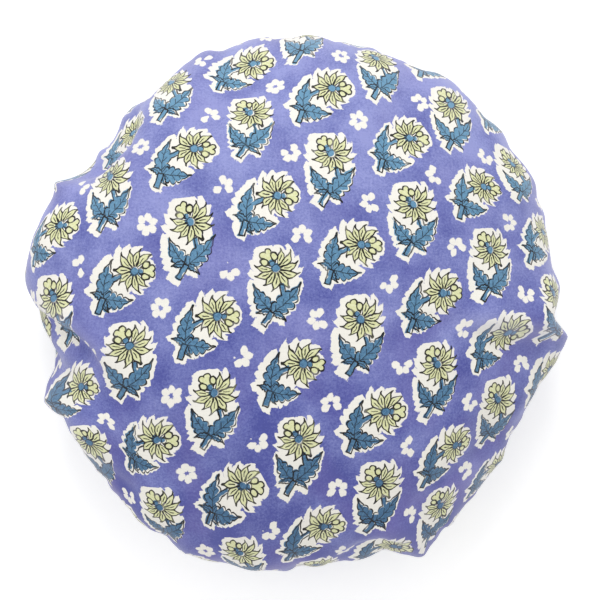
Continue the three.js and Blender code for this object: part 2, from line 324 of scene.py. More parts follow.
def creaseHeight(x, y, along):
    # each crease: a ridge and a valley that fall off from its path, joined by a short steep turn,
    # and dying out at both ends. Out: the height, and how much painted sheen (a pale highlight) lies along
    # the ridge, from 0 to 1.
    height, paintedRidgeSheen = np.zeros_like(x), np.zeros_like(x)
    for (ridge, ridgeWidth), (valley, valleyWidth), turn, path in creases:
        signed, way = besidePath(x, y, path)
        left = leftHand(signed, turn)
        lasting = hump(*creaseRun["lasting"], way)
        up, down = ridge * bell(signed, ridgeWidth), valley * bell(signed, valleyWidth)
        height += (up * left - down * (1 - left)) * lasting
        # painted sheen: a pale band just on the ridge's side of the path
        sheenBand = bell(signed - creaseRun["rubAside"], creaseRun["rubHalf"])
        paintedRidgeSheen += ridge / creaseRun["rubRidge"] * sheenBand * lasting
    left = 1 - ease(*creaseRun["fading"], along - widestAt)
    return height * left, np.clip(paintedRidgeSheen, 0, 1)


def tuckedAway(x, y, along):
    # how far on the print has come where cloth is hidden in the tuck: all of it beside the tuck's
    # outer end, none at its inner end, and less again away from it
    signed, way = besidePath(x, y, tuck["path"])
    step = np.subtract(tuck["path"][-1], tuck["path"][0])
    outwards = np.array([step[1], -step[0]]) / np.hypot(*step)
    beyond = (1 - leftHand(signed, tuck["turn"])) * bell(signed, tuck["reach"])
    beyond *= 1 - ease(*tuck["fading"], along - widestAt)
    return (tuck["hidden"] * (1 - way) * beyond)[:, None] * outwards


def hemShift(angle):
    # how far the hem and all in it shift outwards with the gathers
    return gatherHeight(np.full_like(angle, lineLength), angle)


def hemRise(angle):
    # how far the hem lifts off the floor between the folds that it stands on
    lift = straySet(folds["seed"] + 50, 30)(angle)
    return folds["hemLift"] * np.clip(lift, 0, folds["mostLift"]) ** folds["liftPower"]


def clothSurface(along, angle, depth):
    # points at a distance from the crown, an angle and a depth inside the printed face: the
    # profile's point, moved square to the profile by the height of all folds
    radius, height = (np.interp(along, lineAlong, row) for row in linePoints)
    alongOut, alongUp = (np.interp(along, lineAlong, row) for row in lineTangents)
    x, y = polar(radius, angle).T
    (swellHeight, swellLength), (least, more, length) = folds["swell"], folds["rumple"]
    swell = swellHeight * rumple(x, y, swellLength, folds["seed"] + 20)
    size = least + more * ease(*folds["rumpleGrown"], along)
    swell = swell + size * rumple(x, y, length, folds["seed"] + 21)
    nearHem, atHem, lost = folds["swellLess"]
    swell *= ease(*folds["swellStart"], along) * (1 - lost * ease(nearHem, atHem, along - hemAt))
    swell *= along < hemAt + folds["swellEnd"]
    lift = lobeHeight(along, angle) + gatherHeight(along, angle) + creaseHeight(x, y, along)[0]
    lift = lift + swell - depth
    lifting = ease(-folds["liftOver"], 0, along - hemAt)
    rise = hemRise(angle) * lifting + shoulderRise(along, angle)
    return polar(radius - alongUp * lift, angle, height + alongOut * lift + rise)


def clothGrid(bands):
    # rows round the cap from the crown outwards: the length and angle of each point, the faces
    # between, and the last row's points. A band has its start, end, steps and columns, and each
    # band has as many columns as the one before or twice as many.
    along, angle, faces = [np.zeros(1)], [np.zeros(1)], []
    first, count = 0, 1
    for start, end, steps, columns in bands:
        for place in np.linspace(start, end, steps + 1)[1:]:
            here = first + count
            k = np.arange(columns)
            after = (k + 1) % columns
            along.append(np.full(columns, place))
            angle.append(fullTurn * k / columns)
            if count == 1:
                faces.append(np.stack([np.zeros_like(k), here + k, here + after], 1))
            elif count == columns:
                faces.append(np.stack([first + k, here + k, here + after, first + after], 1))
            else:
                j = np.arange(count)
                jAfter, outer = (j + 1) % count, here + 2 * j
                outerAfter = here + (2 * j + 2) % columns
                faces.append(np.stack([first + j, outer, outer + 1], 1))
                faces.append(np.stack([first + j, outer + 1, first + jAfter], 1))
                faces.append(np.stack([first + jAfter, outer + 1, outerAfter], 1))
            first, count = here, columns
    return np.concatenate(along), np.concatenate(angle), faces, first + np.arange(count)


clothBands = [
    (0, 9, 2, 24), (9, 21, 4, 48), (21, 48, 9, 96), (48, 104, 18, 192),
    (104, 150, 19, 384), (150, lineLength, 46, 768),
]
bakeMargin = 0.4  # mm left free round the disc in the map for baking
bakeDiscs = (0.5, 0.49), (0.082, 0.075)  # middle and radius of the shown and the hidden face there


def setPointValues(piece, name, kind, key, values):
    # stores a value for each point of a sheet's one face, alike on both faces
    attribute = piece.data.attributes.new(name, kind, "POINT")
    attribute.data.foreach_set(key, np.concatenate([values, values]).astype(np.float32).ravel())


def clothSheet(name, depth, thickness, shownFace, material, slot):
    # a round of cloth as a closed skin: its outer and inner faces at their depths, joined at
    # the raw edge. The print's place is the flat cloth's, and the map for baking has the shown
    # face as a disc with the hidden face small in a corner.
    along, angle, faces, rim = clothGrid(clothBands)
    outer, inner = clothSurface(along, angle, depth), clothSurface(along, angle, depth + thickness)
    count = len(along)
    rimAfter = np.roll(rim, -1)
    sides = [face[:, ::-1] + count for face in faces]
    edge = np.stack([rim, rim + count, rimAfter + count, rimAfter], 1)
    piece = makePiece(name, np.concatenate([outer, inner]), faces + sides + [edge], material, slot)

    flat = polar(along, angle)
    plan = polar(np.interp(along, lineAlong, linePoints[0]), angle).T
    pulled = flat + tuckedAway(*plan, along)
    for x, y, reach, pullX, pullY in clothPulls:
        pulled += bell(np.hypot(*(flat - (x, y)).T), reach)[:, None] * (pullX, pullY)
    setPointValues(piece, "clothPlace", "FLOAT_VECTOR", "vector", np.pad(pulled * mm, ((0, 0), (0, 1))))
    # painted sheen along the crease ridges, a pale highlight for the print's colour
    setPointValues(piece, "paintedRidgeSheen", "FLOAT", "value", creaseHeight(*plan, along)[1])

    discs = [middle + radius * flat / (lineLength + bakeMargin) for middle, radius in bakeDiscs]
    spots = np.concatenate(discs if shownFace == "outer" else discs[::-1])
    loopVertex = np.zeros(len(piece.data.loops), np.int32)
    piece.data.loops.foreach_get("vertex_index", loopVertex)
    bake = piece.data.uv_layers.new(name="OFBake")
    bake.data.foreach_set("uv", spots[loopVertex].astype(np.float32).ravel())
    return piece


class Wire:
    # a node's output that can be reckoned with: each of the signs + - * / adds a maths node
    def __init__(self, add, socket):
        self.add, self.socket, self.node = add, socket, socket.node
        self.width = {"VALUE": 1, "VECTOR": 3, "RGBA": 4}.get(socket.type, 0)


def widthOf(value):
    # how many numbers a wire or a plain value carries
    return value.width if isinstance(value, Wire) else np.size(value)


def maths(operation, *values):
    # a maths node, for vectors as soon as one of the values is more than a number
    wire = next(value for value in values if isinstance(value, Wire))
    kind = "VectorMath " if max(map(widthOf, values)) > 1 else "Math "
    return wire.add(kind + operation, *values)


for sign, operation in {"add": "add", "sub": "subtract", "mul": "multiply", "truediv": "divide"}.items():
    setattr(Wire, f"__{sign}__", lambda own, other, how=operation: maths(how, own, other))
    setattr(Wire, f"__r{sign}__", lambda own, other, how=operation: maths(how, other, own))


def plug(value, socket):
    # links a wire to a socket, or sets the socket: a number fills a vector, and a pair has its
    # third part 0. None leaves the socket as it is.
    if isinstance(value, Wire):
        socket.id_data.links.new(value.socket, socket)
    elif value is not None:
        if socket.type == "VECTOR":
            value = (value,) * 3 if np.size(value) == 1 else (*value, 0.0)[:3]
        socket.default_value = value


def nodeAdder(tree):
    # returns the one function that adds a node to this tree. kind is the node's name, with its
    # operation after a space. The inputs are plugged in order. Back comes the output named by
    # out, or the first, or the node itself if it has none.
    def add(kind, *inputs, out=None, **settings):
        name, _, operation = kind.partition(" ")
        node = tree.nodes.new(name if name.startswith("Node") else "ShaderNode" + name)
        if operation:
            node.operation = operation.upper()
        for key, value in settings.items():
            setattr(node, key, value)
        for value, socket in zip(inputs, [s for s in node.inputs if s.enabled]):
            plug(value, socket)
        shown = [s for s in node.outputs if s.enabled and out in (None, s.name)]
        return Wire(add, shown[0]) if shown else node
    return add


def outputsOf(wire):
    # all outputs of a wire's node by name
    return {s.name: Wire(wire.add, s) for s in wire.node.outputs if s.name}


def setSockets(node, **values):
    # plugs a node's inputs by name, with the spaces of the name left out
    for socket in node.inputs:
        plug(values.get(socket.name.replace(" ", "")), socket)


def most(*wires):
    # the largest of some wires: forms joined by their depths, or inks printed together
    largest = wires[0]
    for wire in wires[1:]:
        largest = maths("maximum", largest, wire)
    return largest


def fade(wire, start, end, low=0.0, high=1.0):
    # low up to the start, high from the end on, and straight between
    return wire.add("MapRange", wire, start, end, low, high)


def mixed(share, first, second):
    # from the first to the second as the share goes from 0 to 1: numbers, places or colours
    ends = [hexToLinear(value) if isinstance(value, str) else value for value in (first, second)]
    kind = ("FLOAT", "VECTOR", "VECTOR", "RGBA")[max(map(widthOf, ends)) - 1]
    return share.add("Mix", share, *ends, data_type=kind)


def turned(place, heading):
    # how far a place is ahead along a heading, and how far to its left
    across = maths("cross_product", heading, place)
    return maths("dot_product", place, heading), across.add("SeparateXYZ", across, out="Z")


def curved(wire, spots):
    # a wire sent through a curve drawn by its spots
    made = wire.add("FloatCurve", 1.0, wire)
    curve = made.node.mapping.curves[0]
    curve.points[0].location, curve.points[-1].location = spots[0], spots[-1]
    for spot in spots[1:-1]:
        curve.points.new(*spot)
    made.node.mapping.update()
    return made


def newMaterial(name):
    # a node material with its adder and its shader, which is plugged into the output
    material = bpy.data.materials.new(name)
    material.use_nodes = True
    material.node_tree.nodes.clear()
    add = nodeAdder(material.node_tree)
    shader = add("BsdfPrincipled")
    add("OutputMaterial", shader)
    return material, add, shader.node


def groupOf(name, vectors, numbers, outputs):
    # an empty node group, with the words of each line as its vector inputs, number inputs and
    # number outputs. Out: the group, its adder, its inputs by name and its output node.
    group = bpy.data.node_groups.new(name, "ShaderNodeTree")
    for labels, way, kind in (
        (vectors, "INPUT", "Vector"), (numbers, "INPUT", "Float"), (outputs, "OUTPUT", "Float"),
    ):
        for label in labels.split():
            group.interface.new_socket(label, in_out=way, socket_type=f"NodeSocket{kind}")
    add = nodeAdder(group)
    return group, add, outputsOf(add("NodeGroupInput")), group.nodes.new("NodeGroupOutput")


sprigPrint = {
    "repeatAcross": (47.07, -26.62),  # mm on the flat cloth, from one sprig to the next alike
    "repeatDown": (-33.1, -67.61),
    "firstFlower": (-12.5, 18.7),  # an upright sprig's flower, from the crown
    "secondFlower": (8.5, -5.1),  # a leaning sprig's flower, from the middle of four upright ones
    "bodies": [(0.0, -10.0), (-6.5, -6.5)],  # a sprig's middle from its flower, upright and leaning
    "blossomPlace": (-0.6, -14.0),  # the small blossoms, from halfway between two upright ones
    "ground": ("#4F55A2", "#737ABC", "#989ED8"),  # darkest, middle and palest of the mottling
    "groundDrift": 0.13,  # painted shade: how much darker the colours are 120 mm below the crown, and paler above it
    # the purple tint is both a random mottle and painted shade towards the bottom; the pale lilac after it
    # is painted sheen along crease ridges
    "groundPurple": "#8474B8", "faded": "#CFCFEE",
    "cream": "#F8F5EC", "petal": "#F1F2C8", "petalShade": "#D3D790",
    "leaf": "#659BBD", "leafDark": "#2A5F88", "ink": "#0A0602",
    "line": 0.41,  # half width of the outlines in mm
    "waver": (1.3, 1.3),  # how far a form's edge wanders, from the hand-cut block
    "stray": (0.8, 0.8),  # how far a sprig is off its place in the repeat
    "blueSpread": (-1.4, 1.4), "blueSlip": (0.5, -0.1),  # how far the blue block is off the outlines
    "petals": 12, "petalReach": 12.6, "petalHalf": 1.95, "petalLean": 0.27,
    "disc": 2.5, "smallDisc": ((3.5, 0.0), 1.75),  # the flower's middle: places are ahead and aside
    "budPair": ((6.3, 3.2), 1.75),
    "budLobes": [((10.0, 1.6), 1.8), ((8.2, 0.0), 2.3), ((5.2, 0.0), 2.7)],
    "haloMargin": 2.7, "haloSlip": (1.3, -0.7), "haloSway": (8.0, 5.0),
    "scallops": 4.4, "scallopSweep": 0.07, "veinSweep": 0.2,  # along a leaf, and by mm off its midrib
    "blossomPetals": 6, "blossomReach": 3.7, "blossomNudge": (4.0, 4.0),
    # noises over the flat cloth: how many to a mm, detail and roughness
    "noises": {
        "waver": (0.3, 1.0, 0.5), "sway": (0.016, 0.0, 0.5), "ragged": (0.55, 2.0, 0.6),
        "pools": (0.032, 3.0, 0.55), "grain": (0.7, 4.0, 0.85), "purple": (0.021, 2.0, 0.5),
        "missed": (0.22, 1.0, 0.5), "pressed": (0.16, 1.0, 0.5),
    },
}

# The two ways that the sprig stands: (upright, leaning), in mm from the flower's middle. A leaf
# has a base, a tip, a bend and a half width, and a stem has no bend.
sprigLeaves = [
    [((-2.0, -23.7), (-17.5, -14.8)), ((-12.4, -8.4), (-13.3, 6.6)), (1.3, 1.4), (4.5, 4.7)],
    [((-1.6, -23.4), (-17.2, -15.0)), ((13.6, -7.4), (-0.8, -16.4)), (-1.7, -1.0), (5.2, 4.9)],
    [((-2.2, -24.0), (-17.7, -15.4)), ((-11.0, -24.2), (-25.4, -11.6)), (-0.8, -0.9), (1.9, 1.9)],
    [((-1.8, -24.0), (-17.5, -15.4)), ((5.4, -28.8), (-14.4, -22.4)), (0.9, -0.8), (1.8, 1.8)],
]
sprigStem = [((-2.2, -23.6), (-17.8, -15.0)), ((-6.8, -31.0), (-20.4, -23.2)), (1.5, 1.5)]
sprigNeck = [((4.6, -15.6), (-15.4, -6.2)), ((3.0, -8.8), (-7.4, -2.2)), (1.3, 1.35)]
sprigBuds = [(-0.56, 0.83), (0.998, -0.05)]  # which way the bud stands out from the flower
# the cream between the leaves and the flower: its middles and its radii
sprigFillers = {"spots": [(1.0, -9.0), (-9.5, -7.0)], "sizes": [12.5, 8.5]}


def inside(depth, soft=0.1):
    # 1 inside a form's edge and 0 outside it, with the form given by the depth inside its edge
    return fade(depth, -soft, soft)


def inked(depth, half=sprigPrint["line"]):
    # the printed outline of a form: ink where the depth inside its edge is about nought
    return fade(maths("absolute", depth), half - 0.1, half + 0.12, 1.0, 0.0)


def laidOver(ink, depth, own=None):
    # the ink that shows with one more form on top, which hides what it covers
    outline = inked(depth)
    return most(mixed(inside(depth), ink, own or outline), outline)


def inSector(turns, count, reach):
    # a middle's equal sectors, where turns goes up by 1 from one to the next. Out: the sector's
    # number, and how far out along its midline and aside of it a place is.
    turns = maths("floored_modulo", turns, float(count))
    number = maths("floor", turns)
    swing = (turns - number - 0.5) * (fullTurn / count)
    return number, reach * maths("cosine", swing), reach * maths("sine", swing)


def fromLine(given):
    # how far ahead and aside of the line from a form's base to its tip a place is, and its length
    axis = given["Tip"] - given["Base"]
    ahead, aside = turned(given["Place"] - given["Base"], maths("normalize", axis))
    return ahead, aside, maths("length", axis)


def leafForm():
    # a leaf on a bent midrib: its half width is a drawn curve times a scalloped wave that leans
    # forwards, less the distance from the midrib. Out: the depth inside its edge in mm, and ink.
    group, add, given, done = groupOf("blockCutLeaf", "Place Base Tip", "Bend HalfWidth", "Depth Ink")
    ahead, across, length = fromLine(given)
    t = ahead / length
    across = across - t * (1.0 - t) * (given["Bend"] * 4.0)
    off = maths("absolute", across)
    lobed = t * sprigPrint["scallops"] + 0.15 + maths("sign", across) * 0.12
    wave = maths("absolute", maths("sine", (lobed - off * sprigPrint["scallopSweep"]) * np.pi))
    outline = curved(t, [(0, 0.2), (0.08, 0.72), (0.2, 0.98), (0.36, 1.0), (0.54, 0.84), (0.7, 0.52),
                         (0.82, 0.24), (0.92, 0.1), (1, 0.02)])
    half = outline * given["HalfWidth"] * (maths("power", wave, 0.65) * 0.4 + 0.6)
    past = most(t * -1.0, t - 1.0) * length
    depth = half - off - most(past, 0.0)
    midrib = fade(off, 0.14, 0.36, 1.0, 0.0)
    vein = maths("absolute", maths("fract", lobed - off * sprigPrint["veinSweep"]) - 0.5)
    side = fade(vein, 0.04, 0.1, 1.0, 0.0) * fade(depth, 1.3, 1.8)
    ribs = most(midrib, side) * fade(depth, 0.0, 0.3)
    setSockets(done, Depth=depth, Ink=most(inked(depth), ribs * 0.85))
    return group


def barForm():
    # a straight stem with a square end: its half width less the distance from its line, or the
    # way left to its end. Out: depth and ink.
    group, add, given, done = groupOf("blockCutStem", "Place Base Tip", "HalfWidth", "Depth Ink")
    ahead, across, length = fromLine(given)
    wall = given["HalfWidth"] - maths("absolute", across)
    depth = maths("minimum", wall, maths("minimum", length - ahead, ahead))
    setSockets(done, Depth=depth, Ink=inked(depth))
    return group


def flowerForm(place, leaning):
    # the sprig's flower. Out: the depth inside its petals, inside its discs, and its ink.
    add, look = place.add, sprigPrint

    # ahead is towards the flower's bud, aside is square to it
    ahead, aside = turned(place, mixed(leaning, *sprigBuds))
    own = add("CombineXYZ", ahead, maths("absolute", aside))
    reach = maths("length", place)

    # pointed petals in equal sectors, whose tips lean towards the bud from both sides
    count = look["petals"]
    bearing = maths("arctan2", aside, ahead)
    lean = fade(maths("sine", bearing), -0.6, 0.6, -1.0, 1.0)
    lean = lean * maths("power", reach / look["petalReach"], 3.0)
    turns = (lean * look["petalLean"] + bearing) * (count / fullTurn) + 0.5
    number, out, across = inSector(turns, count, reach)
    across = maths("absolute", across)
    chance = add("TexWhiteNoise", add("CombineXYZ", number, leaning))
    tip = fade(chance, 0.0, 1.0, look["petalReach"] * 0.9, look["petalReach"] * 1.1)
    shape = curved(out / tip, [(0, 0.15), (0.2, 0.26), (0.36, 0.58), (0.5, 0.92), (0.58, 1.0),
                               (0.7, 0.82), (0.81, 0.42), (0.9, 0.16), (1, 0.05)])
    petal = shape * look["petalHalf"] - across - most(out - tip, 0.0)
    underBud = maths("greater_than", maths("cosine", number * (fullTurn / count)), 0.8)
    petal = petal - underBud * 20.0
    between = reach * (np.pi / count) - across
    ink = inked(maths("minimum", petal, between)) * fade(petal, -1.0, -0.9)
    dash = fade(across, 0.18, 0.4, 1.0, 0.0) * fade(reach, 4.4, 4.8) * fade(reach, 8.0, 9.0, 1.0, 0.0)
    ink = most(ink, dash * fade(petal, 0.2, 0.4))

    # the bud: a pair of oval petals and a piece of three lobes, over the flower's petals
    pairSpot, pairSize = look["budPair"]
    fromPair = own - pairSpot
    pairAlong = maths("dot_product", fromPair, pairSpot / np.hypot(*pairSpot))
    square = maths("dot_product", fromPair, fromPair) - pairAlong * pairAlong * 0.4
    pair = pairSize - maths("sqrt", square)
    trefoil = most(*(size - maths("distance", own, spot) for spot, size in look["budLobes"]))
    ink = laidOver(laidOver(ink, trefoil), pair)

    # the two discs in the middle
    smallSpot, smallSize = look["smallDisc"]
    small = smallSize - maths("distance", own, smallSpot)
    disc = look["disc"] - reach
    both = most(disc, small)
    ink = mixed(inside(both), ink, mixed(inside(disc), inked(small), inked(disc)))
    return most(petal, trefoil, pair), both, ink


def sprigForm(leaf, bar):
    # One sprig round a flower's middle. Out: the depth inside its whole outline, inside its
    # petals, its leaves and its discs, its ink, and the depth inside its cream filler.
    ends = "Whole Petal Green Disc Ink Filler"
    group, add, given, done = groupOf("blockCutSprig", "Place", "Leaning", ends)
    place, leaning = given["Place"], given["Leaning"]

    def joined(*forms):
        # leaves or stems as one depth and one ink, each laid over those before it
        depth, ink = None, None
        for form in forms:
            values = [mixed(leaning, *pair) for pair in form]
            made = outputsOf(add("Group", place, *values, node_tree=leaf if len(form) == 4 else bar))
            ink = laidOver(ink, made["Depth"], made["Ink"]) if depth else made["Ink"]
            depth = most(depth, made["Depth"]) if depth else made["Depth"]
        return depth, ink

    leafDepth, leafInk = joined(*sprigLeaves, sprigStem)
    neckDepth, neckInk = joined(sprigNeck)
    petals, discs, ink = flowerForm(place, leaning)
    flower = most(petals, discs)
    inFlower = inside(flower)
    inNeck = inside(neckDepth) * fade(leafDepth, 0.3, 0.8, 1.0, 0.0)
    leafInk = most(leafInk * (1.0 - inNeck), neckInk * fade(leafDepth, -0.3, 0.1, 1.0, 0.0))
    filler = mixed(leaning, *sprigFillers["sizes"])
    setSockets(
        done, Whole=most(flower, leafDepth, neckDepth), Petal=petals,
        Green=most(leafDepth - inFlower * 50.0, neckDepth), Disc=discs,
        Ink=most(ink, leafInk * (1.0 - inFlower)),
        Filler=filler - maths("distance", place, mixed(leaning, *sprigFillers["spots"])),
    )
    return group


def printedCotton():
    # Cotton cambric, block-printed by hand: a fine plain weave with a soft sheen. Each colour is
    # its own block, pressed a little off the others, so cream shows beside the outlines. The
    # periwinkle ground is mottled where the block took the dye unevenly, and darkened towards the
    # bottom, below the crown, as painted shade.
    material, add, shader = newMaterial("blockPrintedCottonCambric")
    look = sprigPrint
    sprig = sprigForm(leafForm(), barForm())

    # the flat cloth in mm, with the wavering of hand-cut blocks
    flat = add("Attribute", out="Vector", attribute_name="clothPlace") * (1 / mm)

    def noise(name, out=None):
        # one of the noises, as a number or as a colour's three numbers
        return add("TexNoise", flat, *look["noises"][name], out=out)

    wavered = (noise("waver", "Color") - 0.5) * look["waver"] + flat

    # the repeat: how many steps across and down, and the nearest sprig of each way of standing
    across, down = np.array(look["repeatAcross"]), np.array(look["repeatDown"])
    turnBack = np.linalg.inv(np.stack([across, down], 1))
    middle = (down - across) / 2 + look["secondFlower"]
    places, gaps, numbers = [], [], []
    for start, body in zip((np.zeros(2), middle), look["bodies"]):
        fromFirst = wavered - (start + look["firstFlower"])
        steps = [maths("round", maths("dot_product", fromFirst - body, row)) for row in turnBack]
        places.append(fromFirst - steps[0] * across - steps[1] * down)
        gaps.append(maths("distance", places[-1], body))
        numbers.append(steps)
    leaning = maths("less_than", gaps[1] + 1.0, gaps[0])
    number = add("CombineXYZ", *(mixed(leaning, *pair) for pair in zip(*numbers)), leaning)
    chances = add("TexWhiteNoise", number, out="Color") - 0.5
    place = chances * look["stray"] + mixed(leaning, *places)

    def pressedSprig(spot):
        # the whole sprig once more, as one block presses it about its own spot
        return outputsOf(add("Group", spot, leaning, node_tree=sprig))

    drawn = pressedSprig(place)
    blueBlock = pressedSprig(chances * look["blueSpread"] + look["blueSlip"] + place)

    # the cream left by the ground's block, shifted against the outlines by a slowly varying step
    sway = (noise("sway", "Color") - 0.5) * look["haloSway"]
    halo = pressedSprig(sway + look["haloSlip"] + place)
    ragged = fade(noise("ragged"), 0.3, 0.7, -0.5, 0.5)
    creamDepth = most(halo["Whole"] + ragged + look["haloMargin"], halo["Filler"])

    # small blossoms: round petals on a ring, some of them missing
    fromFirst = wavered - (np.array(look["firstFlower"]) + look["blossomPlace"])
    sums = [maths("dot_product", fromFirst, turnBack[0] + way * turnBack[1]) for way in (1, -1)]
    cells = [maths("floor", s) for s in sums]
    parts = [(s - c - 0.5) * ((across + way * down) / 2) for s, c, way in zip(sums, cells, (1, -1))]
    cell = add("CombineXYZ", *cells, 3.0)
    chances = add("TexWhiteNoise", cell, out="Color")
    spot = parts[0] + parts[1] + (chances - 0.5) * look["blossomNudge"]
    x, y = (add("SeparateXYZ", spot, out=axis) for axis in "XY")
    count = look["blossomPetals"]
    turns = maths("arctan2", y, x) * (count / fullTurn) + add("SeparateXYZ", chances, out="Z") * count
    which, petalOut, petalAside = inSector(turns, count, maths("length", spot))
    present = add("TexWhiteNoise", cell + add("CombineXYZ", which, 0.0, 7.0))
    petalSize = fade(present, 0.14, 0.18, -4.0, 0.0) + fade(present, 0.2, 1.0, 1.9, 2.3)
    petalSpot = add("CombineXYZ", (petalOut - look["blossomReach"]) * 0.85, petalAside)
    blossomDepth = ragged * 0.6 + petalSize - maths("length", petalSpot)
    cream = most(inside(creamDepth, 0.2), inside(blossomDepth, 0.22))

    # the ground, mottled and speckled, with uneven threads drawn coarser than the 0.25 mm that
    # they are
    pools = fade(noise("pools"), 0.3, 0.7, 0.33, 0.67)
    grain = noise("grain")
    shadeDrift = look["groundDrift"]
    # painted shade: the ground and the leaves darker towards the bottom of the cloth, below the crown, and
    # paler above it
    paintedShadeBelow = fade(add("SeparateXYZ", flat, out="Y"), -120.0, 120.0, -shadeDrift, shadeDrift)
    ground = add("ValToRGB", (grain - 0.5) * 0.8 + pools + paintedShadeBelow)
    ramp = ground.node.color_ramp
    ramp.elements[0].position, ramp.elements[1].position = 0.3, 0.72
    ramp.elements.new(0.5)
    for element, colour in zip(ramp.elements, look["ground"]):
        element.color = hexToLinear(colour)
    # purple patches: a random tone, laid on more fully towards the bottom, below the crown, as painted
    # shade
    purple = fade(noise("purple"), 0.45, 0.75, 0.0, 0.5)
    ground = mixed(purple * fade(paintedShadeBelow, 0.0, -shadeDrift, 0.35, 1.0), ground, look["groundPurple"])
    warp, weft = (add("TexNoise", flat * way, 1.0, 2.0, 0.6) for way in ((1.1, 0.05), (0.05, 1.1)))
    threads = warp + weft

    # each block's colour fills its outline to within an edge that comes and goes
    missed = fade(noise("missed"), 0.42, 0.72, -0.25, 0.75)
    patchy = fade(grain, 0.35, 0.65)
    petalTone = mixed(patchy, look["petalShade"], look["petal"])
    leafMottleAndShade = paintedShadeBelow * 3.6 + patchy  # random mottling, plus painted shade: darker below the crown, paler above it
    leafTone = mixed(leafMottleAndShade, look["leafDark"], look["leaf"])
    colour = mixed(cream, ground, look["cream"])
    colour = mixed(fade(drawn["Petal"] - missed, -0.12, 0.12, 0.0, 0.93), colour, petalTone)
    colour = mixed(fade(drawn["Disc"], -0.1, 0.1, 0.0, 0.8), colour, look["cream"])
    blue = most(blueBlock["Green"] - missed, blueBlock["Disc"])
    colour = mixed(fade(blue, -0.12, 0.12, 0.0, 0.97), colour, leafTone)
    pressed = fade(noise("pressed"), 0.35, 0.5, 0.8, 1.0)
    density = fade(grain, 0.3, 0.5, 0.9, 1.0) * pressed
    colour = mixed(drawn["Ink"] * density, colour, look["ink"])
    # painted sheen: paler lilac along the ridges of the sharpest folds, a highlight painted into the colour
    colour = mixed(add("Attribute", out="Fac", attribute_name="paintedRidgeSheen") * 0.2, colour, look["faded"])
    colour = colour * fade(threads, 0.7, 1.3, 0.96, 1.04)
    setSockets(
        shader, BaseColor=colour, Roughness=0.55, SpecularIORLevel=0.2, SheenWeight=0.42,
        SheenRoughness=0.5, SheenTint=hexToLinear("#F0EEFA"),
        Normal=add("Bump", 0.18, 0.0003, None, threads),
    )
    return material


def filmLining():
    # Waterproof film on a thin knit: white, satin, softly creased.
    material, add, shader = newMaterial("waterproofFilmOnKnit")
    creased = add("TexNoise", add("TexCoord", out="Object"), 60.0, 4.0, 0.6)
    milky = mixed(fade(creased, 0.35, 0.65), "#E4E6E4", "#F1F2EF")
    bump = add("Bump", 0.5, 0.0012, None, creased)
    setSockets(shader, BaseColor=milky, Roughness=0.42, SpecularIORLevel=0.5, Normal=bump)
    return material


def dyedCloth(name, shades, pitch, roughness):
    # Dyed plain cloth or thread: two shades mottled, with a grain at the threads' pitch in mm.
    material, add, shader = newMaterial(name)
    spot = add("TexCoord", out="Object")
    tone = mixed(fade(add("TexNoise", spot, 220.0, 3.0, 0.6), 0.35, 0.65), *shades)
    threads = add("TexNoise", spot, 1 / (pitch * mm), 1.0, 0.5)
    setSockets(
        shader, BaseColor=tone, Roughness=roughness, SpecularIORLevel=0.3, SheenWeight=0.3,
        SheenRoughness=0.4, Normal=add("Bump", 0.4, 0.0003, None, threads),
    )
    return material


cotton = printedCotton()
film = filmLining()
tapeCloth = dyedCloth("dyedCottonBiasTape", ("#6866B6", "#807ECA"), 0.5, 0.8)
elasticWeave = dyedCloth("braidedPolyesterElastic", ("#E6E4DC", "#F4F3EE"), 0.6, 0.7)
whiteThread = dyedCloth("whiteSpunPolyester", ("#E9E6DE", "#F4F2EC"), 0.3, 0.6)
blueThread = dyedCloth("periwinkleSpunPolyester", ("#6C6ABA", "#8684CE"), 0.3, 0.6)
print("materials made")

printedPanel = clothSheet("printedPanel", 0, cap["panelThickness"], "outer", cotton, "printed_cotton")
innerLining = clothSheet("innerLining", cap["liningDepth"], cap["liningThickness"], "inner", film, "lining")
print("panels made:", len(printedPanel.data.polygons), "faces each")


def sweepRing(angles, sections, closed=True):
    # points and faces of outlines (angles, points round, 2), of radius and height, round the cap
    turns, size = sections.shape[:2]
    points = polar(sections[..., 0], angles[:, None], sections[..., 1]).reshape(-1, 3)
    k, i = np.arange(size), np.arange(turns if closed else turns - 1)
    here, there = i[:, None] * size, ((i + 1) % turns)[:, None] * size
    after = (k + 1) % size
    faces = [np.stack([here + k, there + k, there + after, here + after], -1).reshape(-1, 4)]
    if not closed:
        for end, flip in ((0, 1), ((turns - 1) * size, -1)):
            middle = len(points)
            points = np.concatenate([points, points[end:end + size].mean(0)[None]])
            fan = np.stack([np.full(size, middle), end + k, end + after], 1)
            faces.append(fan[:, ::flip])
    return points, faces


def carried(outline, angles):
    # an outline carried round the hem, shifted and lifted with the gathers
    sections = np.repeat(outline[None], len(angles), 0)
    sections[..., 0] += hemShift(angles)[:, None]
    sections[..., 1] += hemRise(angles)[:, None]
    return sections


hem = {
    "tapeThickness": 0.5, "outerLeg": 90.2, "innerLeg": 83.7, "pinch": 88.7,
    "pinchStart": 7.1, "pinchHeight": 1.8, "fold": 0.9,
    "columns": 768,
    "elasticRadius": 86.0, "elasticThickness": 1.0, "elasticBottom": 0.8, "elasticWidth": 6.0,
    "ribs": 6, "ribDepth": 0.07,
    "lap": 12.0, "lapRun": 30.0, "lapStep": 1.3,
    "stitches": 236, "stitchHeight": 10.2, "stitchRadius": 0.24, "stitchShare": 0.86,
    "stitchDent": 0.12,  # how far a row of stitches draws the tape in
    "stitchSink": 0.06, "stitchBulge": 0.2,  # how deep a stitch's ends lie, and how far it arches
    "zigzagLegs": 8, "zigzagRadius": 0.16,
}


